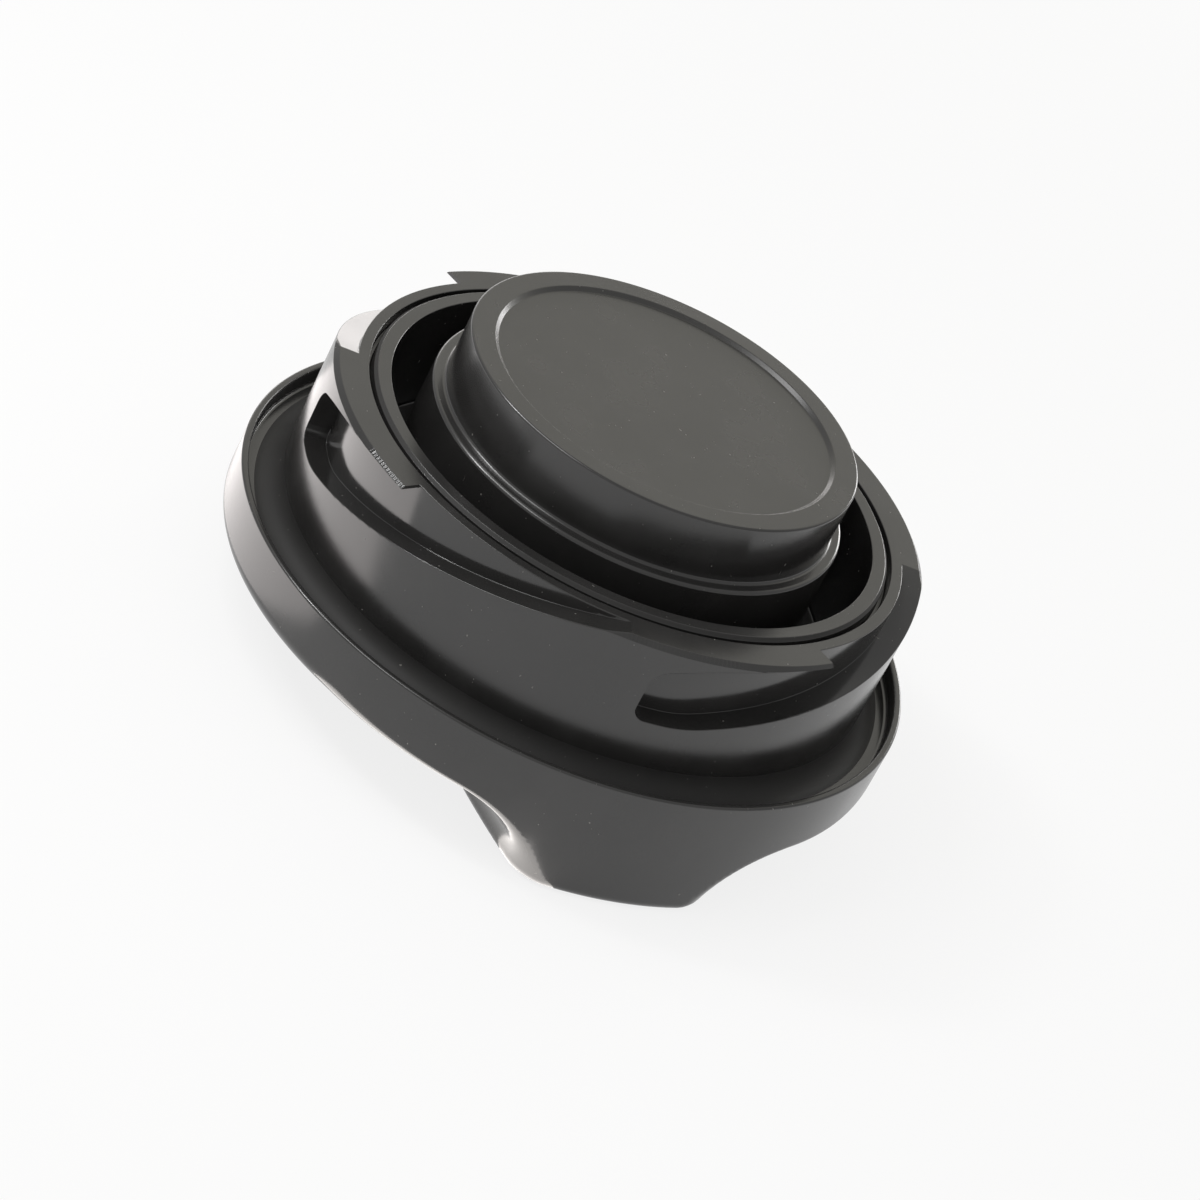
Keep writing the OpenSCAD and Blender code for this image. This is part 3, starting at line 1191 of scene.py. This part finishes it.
@dataclass(frozen=True)
class Softbox:
    """One area light of the studio; the azimuth is the fitted camera's, and a flat one lies on the floor."""

    name: str
    azimuth: float
    elevation: float
    distance: float
    width: float
    height: float
    radiance: float
    lies_flat: bool = False
    colour: tuple[float, float, float] = (1.0, 1.0, 1.0)


SOFTBOXES = (
    Softbox("back_panel", 90.0, 30.0, 1.0, 1.7, 0.75, 0.23, colour=(1.0, 0.95, 0.72)),
    Softbox("back_horizon", 92.0, 4.0, 1.0, 1.2, 0.16, 2.8, colour=(1.0, 0.96, 0.94)),
    Softbox("key_left", 200.0, 56.0, 0.24, 0.20, 0.08, 4.0),
    Softbox("card_left", 184.0, 0.0, 0.054, 0.030, 0.068, 1.7, True, (1.0, 0.93, 0.91)),
    Softbox("card_near", 262.0, 0.0, 0.034, 0.008, 0.032, 3.2, True, (1.0, 0.95, 0.91)),
    Softbox("spark_left", 187.0, 42.5, 0.5, 0.07, 0.08, 26.0),
    Softbox("rim_right", 68.0, 12.0, 0.5, 0.10, 0.10, 8.0),
)
WORLD_LEVEL = 0.5
WORLD_COLOUR = (1.0, 0.995, 0.985, 1.0)
FLOOR_COLOUR = (0.93, 0.93, 0.93, 1.0)
FLOOR_WHITE = 0.82
FLOOR_HALF = 6.0
CARD_LIFT = 0.0003
AIM_HEIGHT = 0.02

# The fitted camera: axes and place seen from the plug's face, turned by VIEW_TURN about Z
VIEW_TURN = 60.6
CAMERA_RIGHT = (0.88710, 0.22379, 0.40369)
CAMERA_DOWN = (0.46151, -0.44522, -0.76733)
CAMERA_AHEAD = (0.00801, 0.86700, -0.49824)
CAMERA_PLACE = (0.0, -358.80, 183.07)
SENSOR_WIDTH = 36.0
FOCAL_PIXELS = 4236.1
PHOTO_PIXELS = 1200.0


class Studio:
    """Camera, floor, light and surroundings."""

    def __init__(self, sizes: CapSizes) -> None:
        """Keeps the sizes.

        Args:
            sizes: The cap's sizes.
        """
        self.s = sizes

    def camera(self) -> None:
        """Makes the photograph's camera."""
        turn = Matrix.Rotation(np.radians(VIEW_TURN), 3, "Z")
        right = turn @ Vector(CAMERA_RIGHT)
        down = turn @ Vector(CAMERA_DOWN)
        ahead = turn @ Vector(CAMERA_AHEAD)
        place = turn @ Vector(CAMERA_PLACE)
        data = bpy.data.cameras.new("camera")
        data.sensor_width = SENSOR_WIDTH
        data.lens = SENSOR_WIDTH * FOCAL_PIXELS / PHOTO_PIXELS
        data.clip_start, data.clip_end = 0.01, 20.0
        obj = bpy.data.objects.new("camera", data)
        bpy.context.scene.collection.objects.link(obj)
        basis = Matrix((right, -down, -ahead)).transposed().to_4x4()
        basis.translation = (place + Vector((0.0, 0.0, self.s.plug_z))) * MM
        obj.matrix_world = basis
        bpy.context.scene.camera = obj

    def floor(self) -> None:
        """Makes the pale floor, a square of half width FLOOR_HALF."""
        half = FLOOR_HALF
        mesh = bpy.data.meshes.new("floor")
        mesh.from_pydata([(-half, -half, 0), (half, -half, 0), (half, half, 0), (-half, half, 0)], [], [(0, 1, 2, 3)])
        obj = bpy.data.objects.new("floor", mesh)
        bpy.context.scene.collection.objects.link(obj)
        material, maker, shader = FinishKit.start("floor_card")
        shader.inputs["Base Color"].default_value = FLOOR_COLOUR
        shader.inputs["Roughness"].default_value = 0.9
        shader.inputs["Specular IOR Level"].default_value = 0.1
        path = maker.make("ShaderNodeLightPath")
        seen = path.named("Is Camera Ray") + path.named("Is Glossy Ray") + path.named("Is Transmission Ray")
        glow = maker.make("ShaderNodeEmission", Color=(1.0, 1.0, 1.0, 1.0), Strength=1.0)
        tree = material.node_tree
        mix = tree.nodes.new("ShaderNodeMixShader")
        tree.links.new((seen * FLOOR_WHITE).socket, mix.inputs[0])
        tree.links.new(shader.outputs[0], mix.inputs[1])
        tree.links.new(glow.socket, mix.inputs[2])
        tree.links.new(mix.outputs[0], tree.nodes["Material Output"].inputs[0])
        mesh.materials.append(material)

    def light(self, box: Softbox) -> None:
        """Makes one softbox that faces the cap, or lies on the floor and faces up.

        Args:
            box: Its place, size and power.
        """
        data = bpy.data.lights.new(box.name, "AREA")
        data.shape = "RECTANGLE"
        data.size, data.size_y = box.width, box.height
        data.energy = box.radiance * float(np.pi) * box.width * box.height
        data.color = box.colour
        obj = bpy.data.objects.new(box.name, data)
        a, e = np.radians(box.azimuth + VIEW_TURN), np.radians(box.elevation)
        way = Vector((float(np.cos(a) * np.cos(e)), float(np.sin(a) * np.cos(e)), float(np.sin(e))))
        if box.lies_flat:
            obj.location = way * box.distance + Vector((0, 0, CARD_LIFT))
            obj.rotation_euler = (float(np.pi), 0.0, float(a))
        else:
            obj.location = way * box.distance + Vector((0, 0, AIM_HEIGHT))
            obj.rotation_euler = way.to_track_quat("Z", "Y").to_euler()
        obj.visible_camera = False
        bpy.context.scene.collection.objects.link(obj)

    def world(self) -> None:
        """Sets a plain pale surrounding."""
        world = bpy.data.worlds.new("studio")
        world.use_nodes = True
        tree = world.node_tree
        tree.nodes.clear()
        maker = Node(tree, None)
        back = maker.make("ShaderNodeBackground", Color=WORLD_COLOUR, Strength=WORLD_LEVEL)
        output = tree.nodes.new("ShaderNodeOutputWorld")
        tree.links.new(back.socket, output.inputs[0])
        bpy.context.scene.world = world
        bpy.context.scene.view_settings.view_transform = "Standard"


def main() -> None:
    """Builds the scene."""
    logging.basicConfig(level=logging.INFO)
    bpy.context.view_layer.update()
    sizes = CapSizes()
    kit = FinishKit()
    shell = CapShell(sizes).make([kit.anodised(finish) for finish in FINISHES])
    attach(shell, "root")
    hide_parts("cap_body")
    studio = Studio(sizes)
    studio.camera()
    studio.floor()
    for box in SOFTBOXES:
        studio.light(box)
    studio.world()


if __name__ == "__main__":
    main()
